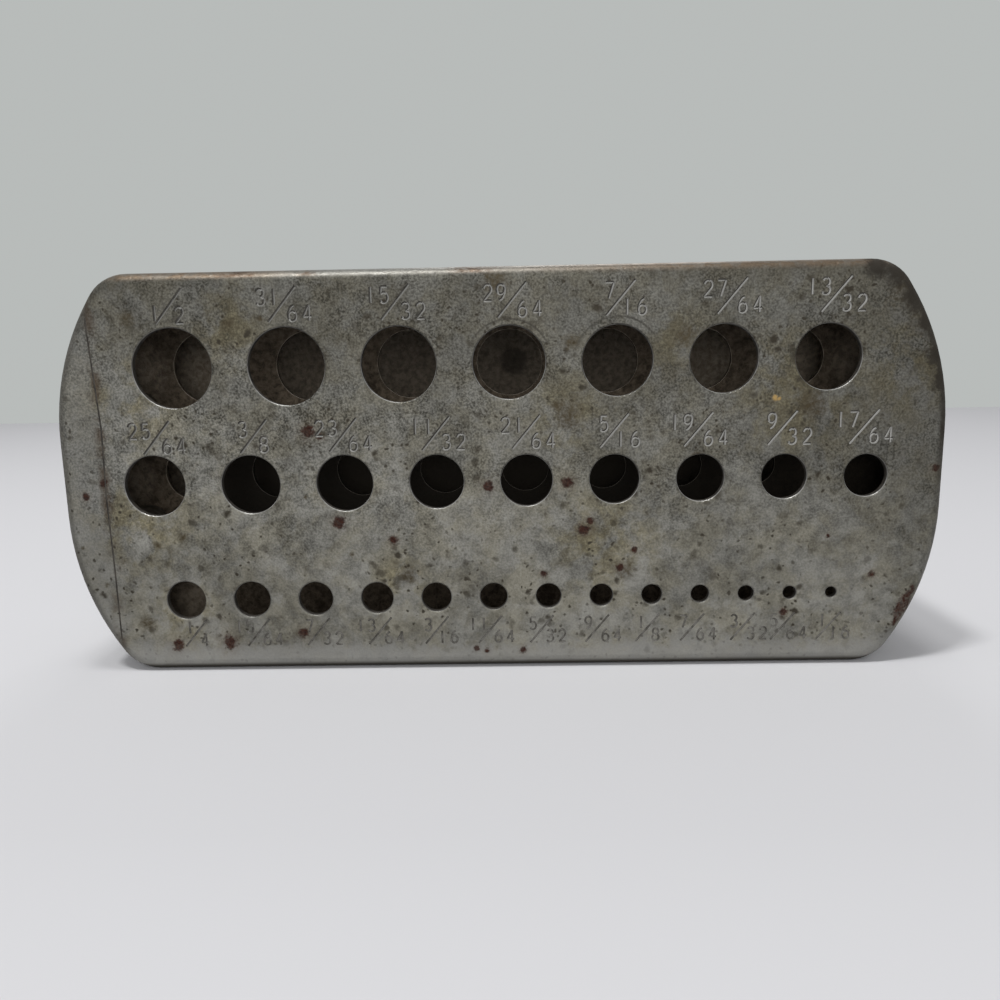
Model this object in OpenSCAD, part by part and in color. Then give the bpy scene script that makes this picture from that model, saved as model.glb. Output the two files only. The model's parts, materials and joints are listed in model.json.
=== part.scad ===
// Drill bit index: a drawn steel shell with 29 graded holes in its face, a
// guide plate with the same holes behind it, and a base plate that the bits
// stand on. It is drawn face up, as it is used, and then tipped onto its long
// wall, face forward, as it stands in the photograph. Millimetres.

/* [Shell] */
// Width over the two rounded ends
body_w = 146; // [144:0.5:180]
// Height over the two long walls, as tipped
body_h = 66.7; // [64:0.1:90]
// Depth from the face to the back of the base plate
body_d = 31.8; // [24:0.1:50]
// Thickness of the drawn sheet
sheet_t = 1.2; // [0.8:0.1:1.8]
// Outer radius of the bend between face and walls
bend_r = 2.2; // [2:0.1:5]
// Straight stretch in the middle of each end
end_flat = 12.5; // [4:0.5:20]
// Radius of the large arcs of the ends
end_r = 42.3; // [36:0.1:48]
// Radius of the four corners
corner_r = 7.4; // [6:0.1:10]

/* [Drill holes] */
// Largest bit, in 64ths of an inch; each next bit is 1/64 inch smaller
largest_bit = 32; // [31:1:34]
// Room for the bit, on the diameter
bit_clearance = 0.2; // [0.1:0.05:0.4]
// Rounding of each punched mouth
mouth_r = 0.3; // [0.1:0.05:0.5]

/* [Top row] */
// Number of holes in the top row
top_count = 7; // [5:1:7]
// Metal left between neighbouring holes of the top row
top_web = 5.9; // [3:0.1:6.5]
// Distance of the top row from the upper long wall
top_inset = 15.2; // [13.5:0.1:16]
// Offset of the top row to the right of the middle
top_shift = -0.4; // [-1:0.1:1]

/* [Middle row] */
// Number of holes in the middle row
middle_count = 9; // [6:1:9]
// Metal left between neighbouring holes of the middle row
middle_web = 6.1; // [3:0.1:6.5]
// Height of the middle row above the middle of the face
middle_rise = -1.05; // [-2:0.05:1]
// Offset of the middle row to the right of the middle
middle_shift = 0.6; // [-1:0.1:1]

/* [Bottom row] */
// Number of holes in the bottom row
bottom_count = 13; // [8:1:14]
// Metal left between neighbouring holes of the bottom row
bottom_web = 4.9; // [3:0.1:6]
// Distance of the bottom row from the lower long wall
bottom_inset = 12.6; // [11:0.1:15]
// Offset of the bottom row to the right of the middle
bottom_shift = -0.3; // [-1:0.1:1]

/* [Guide plate] */
// Depth of the guide plate behind the front of the face
guide_depth = 16.5; // [10:0.1:22]
// Thickness of the guide plate
guide_t = 1; // [0.8:0.1:2]
// Gap between the guide plate and the walls
guide_gap = 0.5; // [0.2:0.1:1.5]

/* [Base plate] */
// Thickness of the base plate
base_t = 1.6; // [1.4:0.1:3]
// Gap between the base plate and the walls
base_gap = 0.2; // [0.1:0.05:0.5]

/* [Studs and spacers] */
// Distance of the studs from the ends
stud_inset = 7.2; // [7:0.1:10]
// Distance between the two studs at one end
stud_pitch = 21; // [18:0.5:26]
// Diameter of the studs and spacers
stud_d = 7; // [6.5:0.1:8]
// Diameter of the stem that carries the guide plate and the spacer
stem_d = 4.6; // [4.4:0.1:5]
// Room round the stem, on the diameter
stem_clearance = 0.2; // [0.1:0.05:0.4]
// Gap between the end of the stem and the base plate
stem_gap = 0.8; // [0.4:0.1:2]

/* [Screws] */
// Outer diameter of the thread
screw_d = 2.85; // [2.5:0.05:3.2]
// Length under the head's top
screw_l = 9; // [7:0.5:11]
// Diameter of the countersunk head
head_d = 5.4; // [5:0.1:5.6]
// Width of the slot
slot_w = 0.8; // [0.5:0.1:1]
// Depth of the slot
slot_depth = 0.6; // [0.4:0.1:0.8]
// Room round the thread, on the diameter
screw_clearance = 0.1; // [0.05:0.05:0.3]
// Room beyond the screw's end in the stem
tap_gap = 1; // [0.5:0.5:2]

/* [Hidden] */
inch = 25.4;
// Length by which a cut runs past the surface that it opens
past = 1;
$fn = 96;

// The outline has a straight stretch and two large arcs at each end, which
// run into the corner arcs, and the corner arcs run into the long walls. A
// corner lies a hair outside the true tangent, so that its arc crosses the end.
corner_lap = 0.02;
end_x = body_w / 2 - end_r;
end_y = end_flat / 2;
corner_y = body_h / 2 - corner_r;
turn = asin((corner_y - end_y) / (end_r - corner_r));
tangent_x = end_x + (end_r - corner_r) * cos(turn);
corner_x = ceil(100 * (tangent_x + corner_lap)) / 100;

// Heights in the upright pose, from the back of the base plate
guide_top = body_d - guide_depth;
guide_bottom = guide_top - guide_t;
face_inside = body_d - sheet_t;
// The cup is cut into front and wall a little behind its bend
front_lip = 1;
wall_top = body_d - bend_r - front_lip;

stud_x = body_w / 2 - stud_inset;
head_h = (head_d - screw_d) / 2;

corners = [
    ["upper_left", -1, 1],
    ["upper_right", 1, 1],
    ["lower_left", -1, -1],
    ["lower_right", 1, -1],
];

// Top, middle and bottom row of holes
row_counts = [top_count, middle_count, bottom_count];
row_webs = [top_web, middle_web, bottom_web];
row_shifts = [top_shift, middle_shift, bottom_shift];
row_ys = [body_h / 2 - top_inset, middle_rise, bottom_inset - body_h / 2];

// Sum of a list's first entries
function sum(list, count) = count == 0 ? 0 : list[count - 1] + sum(list, count - 1);

// Bit sizes and hole places of row r, counted from its left end
function bit_size(r, i) = (largest_bit - sum(row_counts, r) - i) * inch / 64;
function hole_d(r, i) = bit_size(r, i) + bit_clearance;
function hole_ds(r) = [for (i = [0 : row_counts[r] - 1]) hole_d(r, i)];
function row_w(r) = sum(hole_ds(r), row_counts[r]) + (row_counts[r] - 1) * row_webs[r];
function hole_x(r, i) =
    row_shifts[r] - row_w(r) / 2 + sum(hole_ds(r), i) + i * row_webs[r] + hole_d(r, i) / 2;

// From the upright pose to the pose of the photograph
module tipped() {
    translate([0, body_d / 2, body_h / 2])
        rotate([90, 0, 0])
            children();
}

// Cross-section of a wall-to-centre slice, its upper outer corner rounded
module slice(reach, bottom, top, edge) {
    translate([0, bottom])
        square([reach - edge, top - bottom]);
    if (edge > 0) {
        translate([reach - edge, bottom])
            square([edge, top - bottom - edge]);
        translate([reach - edge, top - edge])
            intersection() {
                circle(edge);
                square(edge);
            }
    }
}

// One arc of the outline: the slice swept about the arc's centre
module arc_sweep(x, y, angle, reach, bottom, top, edge) {
    translate([x, y, 0])
        rotate_extrude(angle = angle)
            slice(reach, bottom, top, edge);
}

// One straight stretch of the outline, facing the given way
module straight_sweep(facing, start, length, reach, bottom, top, edge) {
    rotate([0, 0, facing])
        translate([start, 0, 0])
            rotate([90, 0, 0])
                linear_extrude(length, center = true)
                    slice(reach, bottom, top, edge);
}

// Solid of the outline drawn in by inset, with its upper edge rounded
module barrel(inset, bottom, top, edge = 0) {
    for (side = [0, 180]) {
        straight_sweep(side, end_x, end_flat, end_r - inset, bottom, top, edge);
        straight_sweep(side + 90, 0, 2 * corner_x, body_h / 2 - inset, bottom, top, edge);
    }
    for (flip_x = [0, 1], flip_y = [0, 1])
        mirror([flip_x, 0, 0])
            mirror([0, flip_y, 0]) {
                arc_sweep(end_x, end_y, turn, end_r - inset, bottom, top, edge);
                arc_sweep(corner_x, corner_y, 90, corner_r - inset, bottom, top, edge);
            }
}

// Calls its children at each hole, with the hole's diameter in $hole
module at_holes() {
    for (r = [0 : len(row_counts) - 1])
        for (i = [0 : row_counts[r] - 1])
            translate([hole_x(r, i), row_ys[r], 0]) {
                $hole = hole_d(r, i);
                children();
            }
}

// Straight holes through a plate between two heights
module bit_holes(bottom, top) {
    at_holes()
        translate([0, 0, bottom - past])
            cylinder(d = $hole, h = top - bottom + 2 * past);
}

// The metal that rolls in at each mouth of the face
module rolled_mouths() {
    at_holes()
        translate([0, 0, body_d - mouth_r])
            rotate_extrude()
                difference() {
                    square([$hole / 2 + mouth_r, mouth_r + past]);
                    translate([$hole / 2 + mouth_r, 0])
                        circle(mouth_r);
                }
}

// Calls its children at one corner's stud
module at_stud(corner) {
    translate([corner[1] * stud_x, corner[2] * stud_pitch / 2, 0])
        children();
}

// Front of the drawn cup: the holed face and the bend round it
module face_shell() {
    color([0.46, 0.45, 0.43])
        tipped()
            difference() {
                barrel(0, wall_top, body_d, bend_r);
                barrel(sheet_t, wall_top - past, face_inside, bend_r - sheet_t);
                bit_holes(face_inside, body_d);
                rolled_mouths();
            }
}

// Wall of the same cup, which carries on behind the bend
module side_wall() {
    color([0.44, 0.43, 0.41])
        tipped()
            difference() {
                barrel(0, 0, wall_top);
                barrel(sheet_t, -past, wall_top + past);
            }
}

// Flat plate with the same holes, which keeps the bits upright
module guide_plate() {
    color([0.42, 0.34, 0.27])
        tipped()
            difference() {
                barrel(sheet_t + guide_gap, guide_bottom, guide_top);
                bit_holes(guide_bottom, guide_top);
                for (corner = corners)
                    at_stud(corner)
                        translate([0, 0, guide_bottom - past])
                            cylinder(d = stem_d + stem_clearance, h = guide_t + 2 * past);
            }
}

// Flat plate that closes the back and carries the bits
module base_plate() {
    color([0.36, 0.31, 0.26])
        tipped()
            difference() {
                barrel(sheet_t + base_gap, 0, base_t);
                for (corner = corners)
                    at_stud(corner) {
                        translate([0, 0, -past])
                            cylinder(d = screw_d + screw_clearance, h = base_t + 2 * past);
                        cylinder(d1 = head_d, d2 = screw_d, h = head_h);
                    }
            }
}

// Shouldered stud behind the face: its stem carries the plates
module stud(corner) {
    stem_bottom = base_t + stem_gap;
    color([0.55, 0.54, 0.52])
        tipped()
            at_stud(corner)
                difference() {
                    union() {
                        translate([0, 0, guide_top])
                            cylinder(d = stud_d, h = face_inside - guide_top);
                        translate([0, 0, stem_bottom])
                            cylinder(d = stem_d, h = guide_top - stem_bottom);
                    }
                    translate([0, 0, stem_bottom - past])
                        cylinder(d = screw_d + screw_clearance, h = screw_l + tap_gap - stem_bottom + past);
                }
}

// Tube that keeps the guide plate and the base plate apart
module spacer(corner) {
    color([0.6, 0.58, 0.55])
        tipped()
            at_stud(corner)
                translate([0, 0, base_t])
                    difference() {
                        cylinder(d = stud_d, h = guide_bottom - base_t);
                        translate([0, 0, -past])
                            cylinder(d = stem_d + stem_clearance, h = guide_bottom - base_t + 2 * past);
                    }
}

// Slotted flat-head screw that holds the base plate to a stud
module screw(corner) {
    color([0.5, 0.48, 0.45])
        tipped()
            at_stud(corner)
                difference() {
                    union() {
                        cylinder(d1 = head_d, d2 = screw_d, h = head_h);
                        cylinder(d = screw_d, h = screw_l);
                    }
                    translate([-head_d, -slot_w / 2, -past])
                        cube([2 * head_d, slot_w, slot_depth + past]);
                }
}

face_shell();
side_wall();
guide_plate();
base_plate();
for (corner = corners) {
    stud(corner);
    spacer(corner);
    screw(corner);
}
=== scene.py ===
# A steel drill bit index that stands on its long wall, with its face forward.
import json
import math
import bpy
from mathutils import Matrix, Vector


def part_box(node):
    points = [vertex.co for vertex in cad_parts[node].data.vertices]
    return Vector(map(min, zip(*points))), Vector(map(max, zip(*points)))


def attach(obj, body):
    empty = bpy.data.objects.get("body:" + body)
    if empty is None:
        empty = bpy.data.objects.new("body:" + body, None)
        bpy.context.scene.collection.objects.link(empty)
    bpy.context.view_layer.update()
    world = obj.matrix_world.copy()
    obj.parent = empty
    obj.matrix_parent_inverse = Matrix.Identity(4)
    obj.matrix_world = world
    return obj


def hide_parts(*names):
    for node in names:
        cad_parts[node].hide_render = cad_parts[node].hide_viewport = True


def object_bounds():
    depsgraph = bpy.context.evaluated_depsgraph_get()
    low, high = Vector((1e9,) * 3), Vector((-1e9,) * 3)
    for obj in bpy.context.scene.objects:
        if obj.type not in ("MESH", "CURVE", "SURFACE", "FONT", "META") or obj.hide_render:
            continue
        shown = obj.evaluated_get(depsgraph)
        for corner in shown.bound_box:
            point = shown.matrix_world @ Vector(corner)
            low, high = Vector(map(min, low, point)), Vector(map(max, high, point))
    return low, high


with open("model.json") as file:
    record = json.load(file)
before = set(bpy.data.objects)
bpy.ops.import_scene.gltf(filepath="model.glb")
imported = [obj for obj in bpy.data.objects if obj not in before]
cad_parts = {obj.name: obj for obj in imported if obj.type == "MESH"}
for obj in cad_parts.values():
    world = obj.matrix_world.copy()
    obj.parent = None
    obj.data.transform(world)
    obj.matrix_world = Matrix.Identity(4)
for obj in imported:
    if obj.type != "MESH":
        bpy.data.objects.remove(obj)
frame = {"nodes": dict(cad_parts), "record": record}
cad_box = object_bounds()


# Drawn cup
# The body is one cup drawn from 1.2 mm sheet steel: the face with its punched
# holes, the bend round it and the wall. The size numbers are struck into the
# face with punches, and bare steel has gone grey, pitted and rusty with use.
def copy_of(name, *nodes):
    parts = [bpy.data.objects.new(name, frame["nodes"][node].data.copy()) for node in nodes]
    bpy.ops.object.select_all(action="DESELECT")
    for part in parts:
        bpy.context.scene.collection.objects.link(part)
        part.select_set(True)
    bpy.context.view_layer.objects.active = parts[0]
    if len(parts) > 1:
        bpy.ops.object.join()
    piece = parts[0]
    bpy.ops.object.mode_set(mode="EDIT")
    bpy.ops.mesh.customdata_custom_splitnormals_clear()
    bpy.ops.mesh.select_all(action="SELECT")
    bpy.ops.mesh.remove_doubles(threshold=1e-6)
    bpy.ops.mesh.select_all(action="DESELECT")
    bpy.ops.mesh.select_mode(type="FACE")
    bpy.ops.object.mode_set(mode="OBJECT")
    piece.data.materials.clear()
    return piece


def finish_shading(piece, angle):
    bpy.ops.object.select_all(action="DESELECT")
    piece.select_set(True)
    bpy.context.view_layer.objects.active = piece
    bpy.ops.object.shade_smooth_by_angle(angle=math.radians(angle))
    bpy.ops.object.modifier_add(type="WEIGHTED_NORMAL")
    piece.modifiers[-1].keep_sharp = True
    bpy.ops.object.modifier_apply(modifier=piece.modifiers[-1].name)


cup = copy_of("drawn_cup", "face_shell", "side_wall")
face_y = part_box("face_shell")[0].y
seam_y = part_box("side_wall")[0].y
back_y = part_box("side_wall")[1].y
mm = 0.001
sheet = 1.2 * mm
for face in cup.data.polygons:
    face.select = abs(face.center.y - seam_y) < 1e-6 and abs(face.normal.y) > 0.9
bpy.ops.object.mode_set(mode="EDIT")
bpy.ops.mesh.delete(type="FACE")
bpy.ops.object.mode_set(mode="OBJECT")


# Single strokes of the number punches, in a cell 0.6 wide and 1 high
def arc(x, y, reach_x, reach_y, start, end):
    steps = max(4, round(abs(end - start) / 18))
    angles = [math.radians(start + (end - start) * i / steps) for i in range(steps + 1)]
    return [(x + reach_x * math.cos(a), y + reach_y * math.sin(a)) for a in angles]


punches = {
    "1": [[(0.3, 0), (0.3, 1)]],
    "2": [arc(0.3, 0.71, 0.28, 0.29, 170, -40) + [(0.02, 0)], [(0.02, 0), (0.6, 0)]],
    "3": [arc(0.29, 0.76, 0.25, 0.24, 155, -85), arc(0.29, 0.27, 0.29, 0.27, 85, -155)],
    "4": [[(0.42, 0), (0.42, 1)], [(0.42, 1), (0, 0.27)], [(0, 0.27), (0.62, 0.27)]],
    "5": [[(0.54, 1), (0.1, 1)], [(0.1, 1), (0.07, 0.52)], arc(0.29, 0.32, 0.29, 0.32, 135, -150)],
    "6": [arc(0.3, 0.3, 0.28, 0.3, 0, 342), arc(0.52, 0.3, 0.5, 0.7, 180, 100)],
    "7": [[(0.02, 1), (0.58, 1)], [(0.58, 1), (0.22, 0)]],
    "8": [arc(0.3, 0.76, 0.24, 0.24, -90, 252), arc(0.3, 0.26, 0.29, 0.26, 90, 432)],
    "9": [arc(0.3, 0.7, 0.28, 0.3, 0, 342), arc(0.08, 0.7, 0.5, 0.7, 0, -80)],
}
closed_strokes = {("6", 0), ("8", 0), ("8", 1), ("9", 0)}


def new_marks(name, width):
    marks = bpy.data.curves.new(name, "CURVE")
    marks.dimensions = "3D"
    marks.bevel_mode = "ROUND"
    marks.bevel_depth = width / 2
    marks.bevel_resolution = 2
    marks.use_fill_caps = True
    return marks


def strike(marks, points, depth, closed=False):
    line = marks.splines.new("POLY")
    line.points.add(len(points) - 1)
    line.use_cyclic_u = closed
    for point, (x, z) in zip(line.points, points):
        point.co = (x, face_y + depth - marks.bevel_depth, z, 1)


def strike_number(marks, text, left, bottom, height, pitch, depth):
    for place, digit in enumerate(text):
        for count, stroke in enumerate(punches[digit]):
            points = [(left + place * pitch + 0.88 * x * height, bottom + y * height) for x, y in stroke]
            strike(marks, points, depth, (digit, count) in closed_strokes)


# Each row's punches sit above or below its holes, a little off to one side
struck_marks = new_marks("struck_marks", 0.48 * mm)
dirty_marks = new_marks("dirty_marks", 0.34 * mm)
rows = {
    "top": (9.8, 1.0, [0.3, -0.1, -0.2, 0.6, 0.4, 1.0, 0.7]),
    "middle": (8.0, 1.0, [1.0, 1.0, 0.1, 0.1, 0, -0.1, -0.5, -0.6, -0.7]),
    "bottom": (-5.8, 0.86, [1.3, 0.8, 0.2, 0.3, -0.1, -0.7, -1.2, -0.7, -0.7, -1.2, -0.4, -1, -0.2]),
}
holes = [mount for mount in frame["record"]["mounts"] if mount["kind"] == "bore"]
for hole in holes:
    _, numerator, denominator, _ = hole["name"].split("_")
    x, _, z = hole["pos_m"]
    row = "top" if z > 45 * mm else "middle" if z > 25 * mm else "bottom"
    rise, size, shifts = rows[row]
    marks = dirty_marks if row == "bottom" else struck_marks
    x += shifts.pop(0) * mm
    z += rise * mm
    size *= mm
    depth = 0.2 * size
    drop = 2.2 if hole["name"] == "bit_1_2_in" else 0
    nearer = -0.6 if drop else 0.5 if numerator.endswith("1") else 0
    closer = 0.6 if denominator.startswith("1") else 0
    left = x + (nearer - 2.4 - 2.15 * (len(numerator) - 1)) * size
    strike_number(marks, numerator, left, z - (0.1 + drop) * size, 2.5 * size, 2.15 * size, depth)
    right = x + (0.95 - closer) * size
    strike_number(marks, denominator, right, z - 2.65 * size, 2.5 * size, 2.4 * size, depth)
    slash = [(x - 2.3 * size, z - 2.75 * size), (x + 2.3 * size, z + 2.75 * size)]
    strike(marks, slash, depth)

# A straight score runs across the left end
score_marks = new_marks("score_marks", 0.32 * mm)
score = [(-66, 59.8), (-65.6, 51.5), (-65.1, 42), (-65.4, 30), (-65.2, 18), (-65.2, 4.4)]
strike(score_marks, [(x * mm, z * mm) for x, z in score], 0.1 * mm)


class Wire:
    """A value, colour or vector in a material, on which arithmetic adds Math nodes."""

    def __init__(self, socket):
        self.socket = socket

    def node(self, kind, settings=None, values=None, outlet=0):
        tree = self.socket.id_data
        made = tree.nodes.new("ShaderNode" + kind)
        for name, value in (settings or {}).items():
            setattr(made, name, value)
        for name, value in (values or {}).items():
            if isinstance(value, Wire):
                tree.links.new(value.socket, made.inputs[name])
            else:
                made.inputs[name].default_value = value
        return Wire(made.outputs[outlet])

    def math(self, operation, first, second):
        return self.node("Math", {"operation": operation}, {0: first, 1: second})

    def __add__(self, other):
        return self.math("ADD", self, other)

    def __sub__(self, other):
        return self.math("SUBTRACT", self, other)

    def __mul__(self, other):
        return self.math("MULTIPLY", self, other)

    def __rsub__(self, other):
        return self.math("SUBTRACT", other, self)

    __radd__ = __add__
    __rmul__ = __mul__

    def __abs__(self):
        return self.math("ABSOLUTE", self, 0.0)

    def most(self, other):
        return self.math("MAXIMUM", self, other)

    def step(self, low, high):
        return self.node("MapRange", {"interpolation_type": "SMOOTHSTEP"},
                         {"Value": self, "From Min": low, "From Max": high})

    def axes(self):
        return [self.node("SeparateXYZ", None, {0: self}, axis) for axis in range(3)]

    def away_from(self, x, z):
        flat = self.node("VectorMath", {"operation": "MULTIPLY"}, {0: self, 1: (1, 0, 1)})
        return flat.node("VectorMath", {"operation": "DISTANCE"}, {0: flat, 1: (x, 0, z)}, 1)

    def noise(self, size, detail=3.0, roughness=0.5):
        return self.node("TexNoise", None, {"Vector": self, "Scale": 1 / size, "Detail": detail,
                                            "Roughness": roughness})

    def shaken(self, size, amount):
        swing = self.node("TexNoise", None, {"Vector": self, "Scale": 1 / size, "Detail": 3.0}, 1)
        swing = swing.node("VectorMath", {"operation": "SUBTRACT"}, {0: swing, 1: (0.5, 0.5, 0.5)})
        return swing.node("VectorMath", {"operation": "MULTIPLY_ADD"}, {0: swing, 1: (amount,) * 3, 2: self})

    def spots(self, places, ragged, soft):
        mask = None
        for x, z, radius in places:
            mark = 1 - self.away_from(x * mm, z * mm) * (1 / (radius * mm))
            mask = mark if mask is None else mask.most(mark)
        return (mask + ragged).step(0, soft)

    def specks(self, size, share, ragged):
        inlets = {"Vector": self, "Scale": 1 / size}
        away = self.node("TexVoronoi", None, inlets)
        chance = self.node("SeparateXYZ", None, {0: self.node("TexVoronoi", None, inlets, 1)}, 0)
        return (away + ragged).step(0.3, 0.1) * chance.step(1 - share, 1.02 - share)

    def paint(self, under, over, blend="MIX"):
        return self.node("Mix", {"data_type": "RGBA", "blend_type": blend}, {0: self, 6: under, 7: over}, 2)

    def into(self, shader, name):
        self.socket.id_data.links.new(self.socket, shader.inputs[name])


def new_finish(name):
    finish = bpy.data.materials.new(name)
    finish.use_nodes = True
    nodes = finish.node_tree.nodes
    return finish, nodes["Principled BSDF"], Wire(nodes.new("ShaderNodeTexCoord").outputs["Object"])


aged_steel, shader, place = new_finish("aged_steel")
rough_place = place.shaken(2.5 * mm, 1.6 * mm)
across, depth, height = place.axes()

# Grey of the bare sheet, with a coarser grain in patches and toward the top
blotch = place.noise(13 * mm, 4.0, 0.55).step(0.36, 0.64)
mottle = rough_place.noise(2.2 * mm, 4.0, 0.6).step(0.34, 0.66)
grain = place.noise(0.36 * mm, 2.0, 0.6).step(0.3, 0.7)
coarse = (rough_place.noise(8 * mm, 3.0).step(0.4, 0.6) * 0.4 + 0.6) * height.step(8 * mm, 50 * mm)
tone = 0.5 + (blotch - 0.5) * 0.22 + (mottle - 0.5) * (0.26 + 0.16 * coarse)
tone = tone + (grain - 0.5) * (0.16 + 0.55 * coarse)
colour = tone.paint((0.03, 0.029, 0.024, 1), (0.3, 0.293, 0.264, 1))
# Painted shade darkens the face toward the top and toward the right
painted_top_shade = (height + across * 0.2).step(14 * mm, 58 * mm)
colour = (painted_top_shade * 0.55).paint(colour, (0.025, 0.023, 0.018, 1))

# Speckled olive-brown stains, heavier in a few places, and cleaner grey along the edges
ragged = rough_place.noise(1 * mm, 4.0, 0.7) * 2.8 - 1.4
speckle = rough_place.noise(0.7 * mm, 3.0, 0.6).step(0.36, 0.64)
zones = place.spots(((-54, 11, 7), (-60, 26, 12), (17, 22, 13), (48, 46, 15), (-43, 58, 8), (-60, 46, 10),
                     (66, 50, 11), (-17, 16, 6), (11.5, 43, 9), (29, 54.5, 7)), 0.0, 0.9)
stain = rough_place.noise(5 * mm, 5.0, 0.62).step(0.38, 0.62) * (zones * 0.65 + 0.35)
colour = stain.paint(colour, (0.92, 0.84, 0.6, 1), "MULTIPLY")
colour = (stain * speckle * 0.55).paint(colour, (0.055, 0.045, 0.026, 1))
clean = (height + mottle * (2 * mm)).step(6.6 * mm, 3.6 * mm)
clean = clean * 0.6 + across.step(-65.4 * mm, -66.6 * mm) * 0.22
colour = clean.paint(colour, (0.255, 0.252, 0.237, 1))

# Dark flecks and round pits
density = rough_place.noise(10 * mm, 3.0).step(0.36, 0.62) * height.step(3 * mm, 7 * mm)
pits = rough_place.specks(1.2 * mm, 0.75, ragged * 0.16)
pits = pits.most(rough_place.specks(2.8 * mm, 0.4, ragged * 0.12))
pits = pits.most(rough_place.noise(2.4 * mm, 3.0, 0.5).step(0.6, 0.74) * 0.7)
pits = pits * (density * 0.75 + 0.25)
colour = (pits * 0.92).paint(colour, (0.024, 0.019, 0.012, 1))

# Dark smudges where the face was handled, none of which reach far along the wall
wall_colour = colour
near_face = depth.step(face_y + 6 * mm, face_y + 3 * mm)
smudge = place.spots(((-43, 58.4, 2.2), (-37.7, 59.1, 0.9), (-59.3, 59.5, 2.2), (-53.3, 23.6, 1.2),
                      (-57.5, 22.2, 1.1), (-15.6, 16.4, 2.8), (-63.4, 19.6, 0.9), (-66.8, 15.5, 0.8),
                      (-32.2, 30.1, 0.7), (11.9, 54.5, 2.2), (-24.9, 20.3, 0.7), (-70.3, 22, 0.6),
                      (21, 17, 3), (0, 64.4, 3.2), (65.5, 62, 6), (69, 58, 6), (71.5, 52, 5.5),
                      (11.5, 43, 4), (50.5, 44, 4), (-60.5, 8.5, 2.4), (30, 55.3, 3), (9.5, 44.5, 1.4),
                      (32.5, 35.8, 1.6)), ragged * 0.5 - 0.1, 0.9)
colour = (smudge * (0.55 + 0.4 * speckle)).paint(colour, (0.042, 0.031, 0.015, 1))

# Red-brown rust in spots, along the score and in a strip on the lower right corner
rust_places = ((-31.1, 40.9, 1.4), (-29.3, 40.2, 0.8), (-26.8, 25.8, 1.3), (-1.8, 31.5, 1.1),
               (11.2, 31.9, 1.2), (-65.6, 33, 0.8), (-68.8, 30.7, 0.8), (-55.5, 4.7, 1.3),
               (-46.6, 5.1, 1.6), (-33.8, 6.6, 1.1), (14, 24, 1.3), (15, 25.4, 0.8), (61.9, 15.6, 0.8),
               (71.2, 33.3, 0.8), (47.4, 9.2, 0.8), (-17.9, 22.6, 1), (3.6, 3.1, 0.7), (-4.3, 3.5, 0.6),
               (-2.6, 3, 0.6), (22.4, 20.4, 0.7), (20, 17.3, 0.9), (7.2, 16.4, 0.7), (54.3, 22.3, 0.5))
halo = place.spots([(x, z, 2.4 * radius) for x, z, radius in rust_places], ragged * 0.35 - 0.1, 1.3)
colour = (halo * 0.5).paint(colour, (0.075, 0.047, 0.026, 1))
rust = place.spots(rust_places, ragged * 0.65, 0.5) * (0.85 + 0.15 * speckle)
strip = [(66.1 + 0.33 * i, 7.2 + 0.74 * i, 0.75 + 0.2 * min(i, 8 - i)) for i in range(9)]
rust = rust.most(place.spots(strip, ragged * 0.7, 0.6) * (0.65 + 0.35 * speckle))
score_x = -65.3 * mm
beside = abs(across - score_x)
seep = beside.step(1.6 * mm, 0.1 * mm) * rough_place.noise(4 * mm, 4.0, 0.6).step(0.46, 0.62)
colour = (seep * 0.7).paint(colour, (0.055, 0.037, 0.024, 1))

# A thin dark ring stands off the upper edge of two holes
ring = None
for name, reach in (("bit_29_64_in", 1.0), ("bit_7_16_in", 1.3)):
    hole = next(mount for mount in holes if mount["name"] == name)
    x, _, z = hole["pos_m"]
    off = place.away_from(x, z) - (hole["dims"]["r_mm"] + reach) * mm
    line = abs(off).step(0.22 * mm, 0.08 * mm) * height.step(z, z + 5 * mm)
    ring = line if ring is None else ring.most(line)
colour = (ring * (0.3 + 0.4 * mottle)).paint(colour, (0.03, 0.027, 0.022, 1))

# The rust itself, and one ochre fleck, both kept off the wall behind the bend
rust_colour = grain.paint((0.013, 0.004, 0.0025, 1), (0.036, 0.0115, 0.006, 1))
colour = rust.paint(colour, rust_colour)
fleck = place.spots(((44.7, 45.1, 0.6), (45.3, 45, 0.4)), ragged * 0.7, 0.8)
colour = fleck.paint(colour, (0.3, 0.2, 0.075, 1))
colour = near_face.paint(wall_colour, colour)
rust = rust * near_face

# The top of the bend is worn bright in the middle and brown to both sides
below = across.step(5 * mm, 50 * mm) * 0.45 + across.step(-42 * mm, -60 * mm) * 0.3
below = below * height.step(62.6 * mm, 65.4 * mm)
colour = (below * (0.6 + 0.4 * mottle)).paint(colour, (0.03, 0.025, 0.017, 1))
# The bright band on top of the bend is partly wear and partly a painted highlight
top = height.step(65 * mm, 66.4 * mm) * depth.step(face_y + 4 * mm, face_y + 2 * mm)
worn_and_highlight_centre = across.step(-46 * mm, -26 * mm) * across.step(44 * mm, -22 * mm)
# Painted glints of the bright colour fleck the brown to both sides
painted_glint = rough_place.noise(1.6 * mm, 4.0, 0.65).step(0.44, 0.6)
worn_and_highlight = worn_and_highlight_centre.most(painted_glint * 0.45).paint((0.17, 0.12, 0.08, 1), (0.22, 0.213, 0.195, 1))
colour = (top * (0.7 + 0.3 * grain)).paint(colour, worn_and_highlight)
old_rust = place.spots(((-4, 66.4, 5), (-41, 65.6, 5), (-30, 65.4, 2)), ragged * 0.6, 0.9)
old_rust = old_rust * depth.step(face_y + 0.15 * mm, face_y + 0.5 * mm) * near_face
colour = (old_rust * (0.4 + 0.5 * speckle)).paint(colour, (0.07, 0.04, 0.022, 1))
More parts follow.
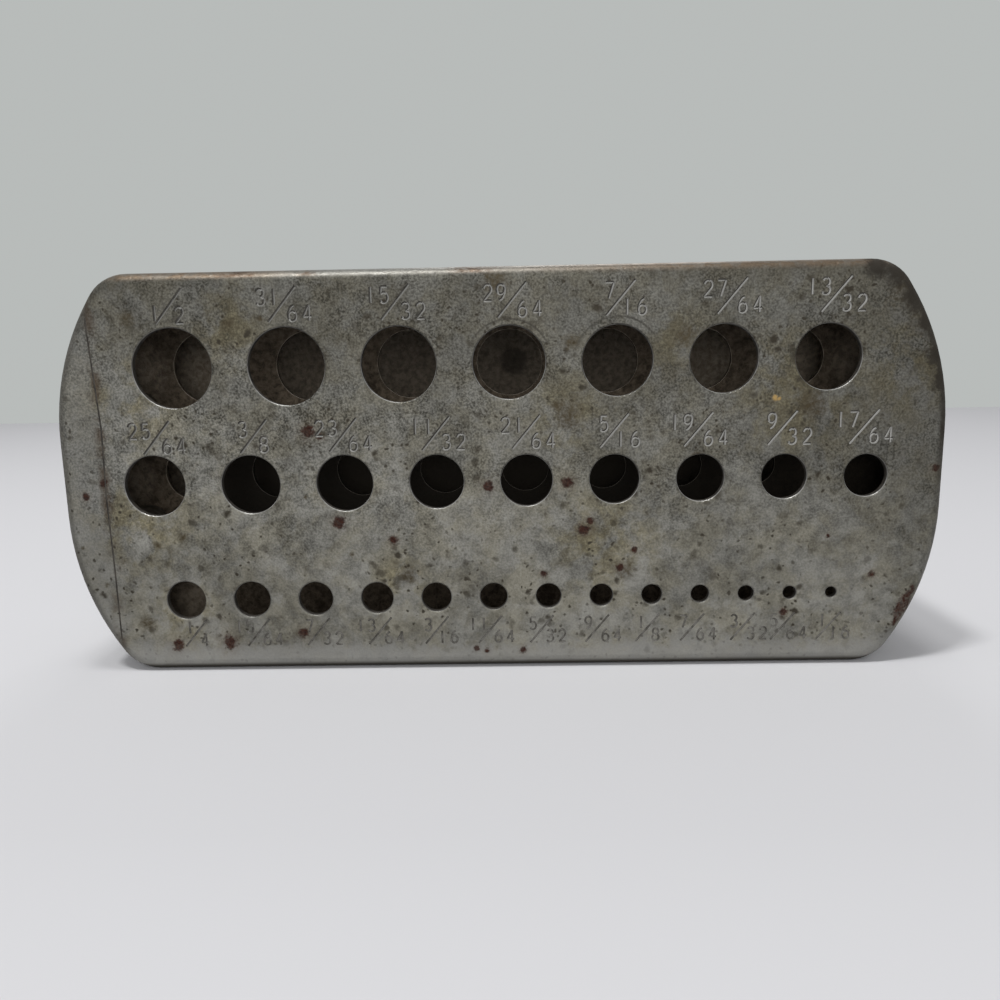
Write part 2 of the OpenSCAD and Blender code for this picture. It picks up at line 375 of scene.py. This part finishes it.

# Dark grime on the end rims and in the upper right corner, and painted contact shadow with grime along the
# foot
right_end = across.step(56 * mm, 66 * mm) * height.step(26 * mm, 40 * mm)
left_end = across.step(-60 * mm, -68 * mm) * 0.5
rim = (depth + mottle * (0.1 * mm)).step(face_y, face_y + 0.25 * mm)
grime_and_foot_shadow = rim * near_face * right_end.most(left_end) * (0.75 + 0.25 * mottle)
# Painted contact shadow with some grime along the foot
grime_and_foot_shadow = grime_and_foot_shadow.most(rim * height.step(1.6 * mm, 0.7 * mm) * 0.95)
dark_corner = place.spots(((60, 65.5, 3), (63.5, 64.5, 3.5), (66.4, 60.6, 3.6), (68.3, 56.5, 2.4),
                           (70.4, 51.5, 3), (71.6, 47.5, 3.2)), ragged * 0.4, 0.7)
grime_and_foot_shadow = grime_and_foot_shadow.most(dark_corner * near_face * 0.95)
colour = grime_and_foot_shadow.paint(colour, (0.02, 0.0165, 0.012, 1))
colour.into(shader, "Base Color")
shader.inputs["Specular IOR Level"].default_value = 0.2

(0.6 + 0.2 * top - 0.65 * rust.most(grime_and_foot_shadow).most(stain * 0.5)).into(shader, "Metallic")
(0.44 + 0.14 * mottle + 0.35 * rust.most(grime_and_foot_shadow) - 0.12 * top).into(shader, "Roughness")
relief = mottle * 0.4 + grain * 0.35 - pits * 1.0 + rust * 0.5
relief.node("Bump", None, {"Strength": 0.5, "Distance": 0.05 * mm, "Height": relief}).into(shader, "Normal")


# Inside the case the steel is brown, with painted shade behind the middle row and painted light near the ends
def inner_finish(name, low, high, shade_colour, lit_places):
    finish, shader, place = new_finish(name)
    across, _, height = place.axes()
    crust = place.shaken(1.2 * mm, 1.2 * mm).noise(1.1 * mm, 6.0, 0.68).step(0.3, 0.7)
    colour = crust.paint(low, high)
    # Painted light makes the steel paler in a few places near the ends
    lit_spots = place.spots(lit_places, 0.0, 1.0) * 0.8
    colour = lit_spots.paint(colour, crust.paint((0.3, 0.25, 0.19, 1), (0.62, 0.52, 0.4, 1)))
    # Painted shade darkens the steel behind the middle row
    row_shade = height.step(44.5 * mm, 41.5 * mm) * height.step(20 * mm, 24 * mm)
    row_shade = row_shade * across.step(-60 * mm, -50 * mm) * (0.97 - 0.1 * across.step(25 * mm, 55 * mm))
    colour = row_shade.paint(colour, shade_colour)
    shader.inputs["Specular IOR Level"].default_value = 0.1
    (0.65 + 0.25 * crust).into(shader, "Roughness")
    crust.node("Bump", None, {"Strength": 0.7, "Distance": 0.15 * mm, "Height": crust}).into(shader, "Normal")
    return finish, shader, place, colour


lit_places = ((-66.5, 51, 8), (-70, 31, 7), (-60, 7, 9), (62, 9, 12), (66, 51, 8), (69, 31, 7))
rusty_inside, shader, place, colour = inner_finish(
    "rusty_inside", (0.12, 0.097, 0.072, 1), (0.34, 0.29, 0.23, 1), (0.04, 0.035, 0.028, 1), lit_places)
colour.into(shader, "Base Color")

# Hole edges rubbed bright with a painted highlight below; painted shade and dirt in the marks, dirt in the
# score
bright_steel, shader, place = new_finish("bright_steel")
_, depth, height = place.axes()
wear_and_highlight = place.noise(1.5 * mm, 4.0, 0.6).step(0.35, 0.65) * 0.6 + 0.4
# A painted highlight on the lower edge of each hole in the upper two rows
lower_edge_highlight = None
for z in sorted({hole["pos_m"][2] for hole in holes})[1:]:
    lower_side_highlight = height.step(z + 2 * mm, z - 4 * mm) * height.step(z - 9 * mm, z - 8 * mm)
    lower_edge_highlight = lower_side_highlight if lower_edge_highlight is None else lower_edge_highlight.most(lower_side_highlight)
wear_and_highlight = wear_and_highlight * depth.step(face_y + 0.05 * mm, face_y + 0.13 * mm) * (0.2 + 0.8 * lower_edge_highlight)
wear_and_highlight = wear_and_highlight * depth.step(face_y + 0.3 * mm, face_y + 0.2 * mm)
wear_and_highlight.paint((0.09, 0.086, 0.076, 1), (0.6, 0.59, 0.565, 1)).into(shader, "Base Color")
(0.45 - 0.15 * wear_and_highlight).into(shader, "Roughness")
shader.inputs["Metallic"].default_value = 0.45
struck_steel, shader, place = new_finish("struck_steel")
across, _, _ = place.axes()
wear_and_highlight = place.noise(0.8 * mm, 4.0, 0.6).step(0.3, 0.7) * 0.4 + across.step(-60 * mm, 30 * mm) * 0.6
wear_and_highlight.paint((0.2, 0.195, 0.18, 1), (0.29, 0.284, 0.268, 1)).into(shader, "Base Color")
(0.35 + 0.2 * wear_and_highlight).into(shader, "Roughness")
shader.inputs["Metallic"].default_value = 0.25
# Painted shade for the upper left walls of the struck marks in the upper rows
shaded_stroke, shader, place = new_finish("shaded_stroke")
dirt_and_stroke_shade = place.noise(1 * mm, 4.0, 0.6).step(0.3, 0.7)
dirt_and_stroke_shade.paint((0.016, 0.014, 0.01, 1), (0.06, 0.055, 0.046, 1)).into(shader, "Base Color")
shader.inputs["Roughness"].default_value = 0.7
# The bottom row's marks are dirty and painted darker as shade
dull_steel, shader, place = new_finish("dull_steel")
wear_and_highlight = place.noise(1 * mm, 4.0, 0.6).step(0.3, 0.7)
wear_and_highlight.paint((0.06, 0.055, 0.046, 1), (0.18, 0.172, 0.155, 1)).into(shader, "Base Color")
shader.inputs["Roughness"].default_value = 0.6
shader.inputs["Metallic"].default_value = 0.4
score_dirt, shader, place = new_finish("score_dirt")
dirt_and_stroke_shade = place.noise(1.2 * mm, 4.0, 0.6).step(0.35, 0.65)
dirt_and_stroke_shade.paint((0.014, 0.011, 0.008, 1), (0.05, 0.043, 0.034, 1)).into(shader, "Base Color")
shader.inputs["Roughness"].default_value = 0.8

for finish in (aged_steel, rusty_inside, bright_steel, score_dirt):
    cup.data.materials.append(finish)
middle_z = (cad_box[0].z + cad_box[1].z) / 2
for face in cup.data.polygons:
    inward = face.normal.x * face.center.x + face.normal.z * (face.center.z - middle_z) < 0
    behind_face = face.center.y > face_y + sheet - 0.01 * mm
    if behind_face and face.center.y < back_y - 1e-6 and (inward or face.normal.y > 0.5):
        face.material_index = 1
    elif abs(face.normal.y) < 0.75 and face.center.y < face_y + sheet + 0.01 * mm:
        for hole in holes:
            away = math.hypot(face.center.x - hole["pos_m"][0], face.center.z - hole["pos_m"][2])
            if away < (hole["dims"]["r_mm"] + 0.4) * mm:
                face.material_index = 2 if abs(face.normal.y) > 0.05 else 3

bpy.ops.object.select_all(action="DESELECT")
for marks, finish in ((struck_marks, struck_steel), (dirty_marks, dull_steel), (score_marks, score_dirt)):
    cutter = bpy.data.objects.new(marks.name, marks)
    bpy.context.scene.collection.objects.link(cutter)
    cutter.select_set(True)
    bpy.context.view_layer.objects.active = cutter
    cutter.data.materials.append(finish)
bpy.ops.object.convert(target="MESH")
bpy.ops.object.join()
cutter = bpy.context.active_object
# The upper left walls of the struck marks get the painted shade
cutter.data.materials.append(shaded_stroke)
for face in cutter.data.polygons:
    bright = cutter.data.materials[face.material_index] == struck_steel
    if bright and face.normal.z - face.normal.x > 0.1:
        face.material_index = len(cutter.data.materials) - 1
bpy.ops.object.select_all(action="DESELECT")
cup.select_set(True)
bpy.context.view_layer.objects.active = cup
bpy.ops.object.modifier_add(type="BOOLEAN")
cut = cup.modifiers[-1]
cut.operation = "DIFFERENCE"
cut.solver = "EXACT"
cut.use_self = True
cut.material_mode = "TRANSFER"
cut.object = cutter
bpy.ops.object.modifier_apply(modifier=cut.name)
bpy.data.objects.remove(cutter)
finish_shading(cup, 25)
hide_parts("face_shell", "side_wall")
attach(cup, "root")


# Studs and spacer tubes
# Four turned studs stand behind the face, and a tube on each stem keeps the
# two plates apart. They are plain turned steel, dulled inside the closed case.
turned_steel, shader, place = new_finish("turned_steel")
dull = place.noise(1.5 * mm, 4.0, 0.6)
dull.step(0.3, 0.7).paint((0.1, 0.085, 0.065, 1), (0.24, 0.22, 0.19, 1)).into(shader, "Base Color")
(0.4 + 0.3 * dull).into(shader, "Roughness")
shader.inputs["Metallic"].default_value = 0.8
corners = ("upper_left", "upper_right", "lower_left", "lower_right")
for corner in corners:
    for part in ("stud_", "spacer_"):
        turned = frame["nodes"][part + corner]
        turned.data.materials.clear()
        turned.data.materials.append(turned_steel)


# Guide plate
# A flat plate behind the face has the same punched holes, so that the bits
# stand upright. It is 1 mm sheet steel, brown with rust, with bright hole edges.
guide = copy_of("guide_sheet", "guide_plate")
rusty_guide, shader, place, colour = inner_finish(
    "rusty_guide", (0.045, 0.034, 0.023, 1), (0.17, 0.137, 0.1, 1), (0.019, 0.0165, 0.013, 1), lit_places)
colour.into(shader, "Base Color")
# The bevelled hole edges are rubbed bright and painted lighter as a highlight
rubbed_edge, shader, place, colour = inner_finish(
    "rubbed_edge", (0.3, 0.255, 0.2, 1), (0.62, 0.55, 0.46, 1), (0.2, 0.18, 0.15, 1), lit_places)
colour.into(shader, "Base Color")
guide.data.materials.append(rusty_guide)
guide.data.materials.append(rubbed_edge)
bpy.ops.object.modifier_add(type="BEVEL")
guide.modifiers[-1].width = 0.26 * mm
guide.modifiers[-1].segments = 2
guide.modifiers[-1].limit_method = "ANGLE"
guide.modifiers[-1].material = 1
bpy.ops.object.modifier_apply(modifier=guide.modifiers[-1].name)
finish_shading(guide, 35)
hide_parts("guide_plate")
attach(guide, "root")


# Base plate
# A flat steel plate closes the back flush with the wall and carries the bits.
# It is held by four countersunk screws.
base_steel, shader, place = new_finish("base_steel")
blotch = place.shaken(3 * mm, 2 * mm).noise(9 * mm, 5.0, 0.6)
grain = place.noise(0.7 * mm, 3.0, 0.6)
colour = (blotch * 0.8 + grain * 0.3).step(0.35, 0.75).paint((0.08, 0.07, 0.055, 1), (0.2, 0.19, 0.17, 1))
rust = place.shaken(2 * mm, 1.5 * mm).noise(14 * mm, 6.0, 0.6).step(0.58, 0.7)
colour = (rust * 0.8).paint(colour, (0.1, 0.045, 0.024, 1))
heads = []
for corner in corners:
    low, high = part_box("screw_" + corner)
    heads.append(((low.x + high.x) / 2 / mm, (low.z + high.z) / 2 / mm, 3.7))
seat = place.spots(heads, (grain - 0.5) * 0.8, 0.4)
(seat * 0.85).paint(colour, (0.016, 0.013, 0.01, 1)).into(shader, "Base Color")
(0.5 - 0.4 * rust).into(shader, "Metallic")
(0.5 + 0.3 * rust).into(shader, "Roughness")
relief = blotch + grain
relief.node("Bump", None, {"Strength": 0.5, "Distance": 0.08 * mm, "Height": relief}).into(shader, "Normal")
base = frame["nodes"]["base_plate"]
base.data.materials.clear()
base.data.materials.append(base_steel)
# Painted light makes the floor paler near the ends and toward the right
brown_floor, shader, place, colour = inner_finish(
    "brown_floor", (0.13, 0.106, 0.078, 1), (0.31, 0.262, 0.205, 1), (0.07, 0.061, 0.048, 1),
    ((-62, 51, 10), (-69, 30, 8), (60, 51, 40), (69, 31, 8)))
# A small dark disc behind the 29/64 hole is a painted reflection of the camera
colour = (place.spots(((2.8, 51.6, 3.2),), 0.0, 0.4) * 0.6).paint(colour, (0.02, 0.018, 0.015, 1))
colour.into(shader, "Base Color")
base.data.materials.append(brown_floor)
for face in base.data.polygons:
    face.material_index = 1 if face.normal.y < -0.9 else 0


# Screws
# Four slotted flat-head screws hold the base plate to the studs. They are
# turned steel, sunk flush into the plate, and dulled by wear.
screw_steel, shader, place = new_finish("screw_steel")
dull = place.noise(0.9 * mm, 4.0, 0.6)
dull.step(0.3, 0.7).paint((0.1, 0.09, 0.07, 1), (0.28, 0.265, 0.24, 1)).into(shader, "Base Color")
(0.35 + 0.3 * dull).into(shader, "Roughness")
shader.inputs["Metallic"].default_value = 0.85
for corner in corners:
    screw = frame["nodes"]["screw_" + corner]
    screw.data.materials.clear()
    screw.data.materials.append(screw_steel)


# Table, light and camera
# A pale table ends behind the index. Two soft lamps hang above it, and broader
# light comes from a window behind and from the room in front.
bpy.ops.mesh.primitive_plane_add(size=1)
table = bpy.context.active_object
table.name = "table"
bpy.ops.object.mode_set(mode="EDIT")
bpy.ops.transform.resize(value=(4, 2.6, 1))
bpy.ops.transform.translate(value=(0, 0.62 - 1.3, 0))
bpy.ops.object.mode_set(mode="OBJECT")
white_cloth, shader, _ = new_finish("white_cloth")
shader.inputs["Base Color"].default_value = (0.645, 0.645, 0.66, 1)
shader.inputs["Roughness"].default_value = 0.9
table.data.materials.append(white_cloth)

world = bpy.data.worlds.new("room")
bpy.context.scene.world = world
world.use_nodes = True
nodes = world.node_tree.nodes
path = nodes.new("ShaderNodeLightPath")
seen = Wire(path.outputs["Is Camera Ray"]).most(Wire(path.outputs["Is Glossy Ray"]))
seen = seen.most(Wire(path.outputs["Is Transmission Ray"]))
seen.paint((0.26, 0.26, 0.27, 1), (0.48, 0.5, 0.49, 1)).into(nodes["Background"], "Color")


def soft_lamp(name, size, power, place, aim):
    lamp = bpy.data.lights.new(name, "AREA")
    lamp.shape = "SQUARE"
    lamp.size = size
    lamp.energy = power
    holder = bpy.data.objects.new(name, lamp)
    holder.location = place
    holder.rotation_euler = (Vector(place) - Vector(aim)).to_track_quat("Z", "Y").to_euler()
    bpy.context.scene.collection.objects.link(holder)


soft_lamp("upper_light", 0.12, 5.1, (-0.27, -0.26, 1.07), (0, 0, 0.03))
soft_lamp("ceiling_light", 0.2, 2.6, (-0.04, -0.13, 1.1), (0, 0, 0.03))
soft_lamp("window_light", 0.5, 2.3, (0.1, 0.95, 0.95), (0, 0, 0.03))
soft_lamp("front_light", 1, 9.2, (0.05, -1.2, 0.45), (0, 0, 0.04))

view = bpy.data.cameras.new("camera")
view.lens = 29.057
view.sensor_width = 36
view.clip_start = 0.005
camera = bpy.data.objects.new("camera", view)
camera.location = (0.00256, -0.14732, 0.05195)
camera.rotation_euler = (math.radians(80.144), math.radians(1.038), math.radians(0.885))
bpy.context.scene.collection.objects.link(camera)
bpy.context.scene.camera = camera
bpy.context.scene.view_settings.view_transform = "Standard"
